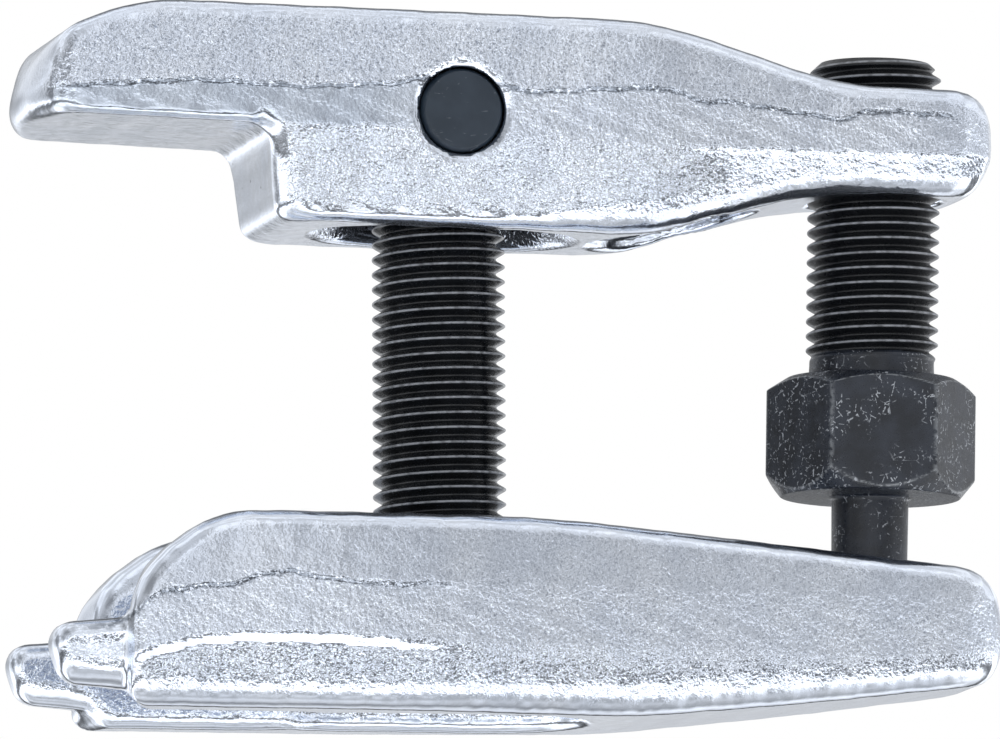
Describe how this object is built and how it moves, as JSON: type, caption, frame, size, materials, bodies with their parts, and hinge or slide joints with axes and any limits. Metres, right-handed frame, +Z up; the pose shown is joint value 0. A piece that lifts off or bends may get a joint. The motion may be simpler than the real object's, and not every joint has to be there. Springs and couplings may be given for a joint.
{
  "type": "ball joint separator",
  "caption": "Screw-operated ball joint separator: a pressing arm rocks on a pin through a threaded column above a slotted fork, driven by a hexagon pressure screw at the rear.",
  "frame": {"origin": "middle of the overall footprint, on the flat underside the fork stands on", "axes": "+X along the tool towards the pressure screw, fork tips at -X; +Z up along the threaded column; +Y across the fork"},
  "size_m": [0.1346, 0.0452, 0.0947],
  "materials": {
    "bright_forging": "bright zinc plated drop forging, orange-peel skin on the sides, smoother edges",
    "black_thread": "black oxide, glossy, rolled thread",
    "black_screw": "black oxide, satin, scratched on the hexagon",
    "black_pin": "black oxide, satin ground end faces",
    "hard_ball": "polished hardened steel"
  },
  "bodies": {
    "fork": {"lower_fork": "bright_forging"},
    "column": {"threaded_column": "black_thread"},
    "arm": {"upper_arm": "bright_forging", "pivot_pin": "black_pin"},
    "tip_ball": {"thrust_ball": "hard_ball"},
    "screw": {"pressure_screw": "black_screw"}
  },
  "joints": [
    {"name": "column_height", "type": "slide", "parent": "fork", "child": "column", "axis": [0, 0, 1], "range_m": [0, 0.012]},
    {"name": "arm_pivot", "type": "hinge", "parent": "column", "child": "arm", "pos_m": [-0.00986, 0, 0.0807], "axis": [0, -1, 0], "range_deg": [-3.9, 3.9]},
    {"name": "screw_travel", "type": "slide", "parent": "arm", "child": "tip_ball", "axis": [-0.0209, 0, -0.9998], "range_m": [-0.004, 0.004]},
    {"name": "screw_turn", "type": "hinge", "parent": "tip_ball", "child": "screw", "pos_m": [0.05048, 0, 0.07944], "axis": [-0.0209, 0, -0.9998], "range_deg": [-721, 721]}
  ],
  "couplings": [
    {"joint": "screw_turn", "follows": "screw_travel", "rad_per_m": 3141.6},
    {"joint": "arm_pivot", "follows": "screw_travel", "rad_per_m": 16.886}
  ]
}
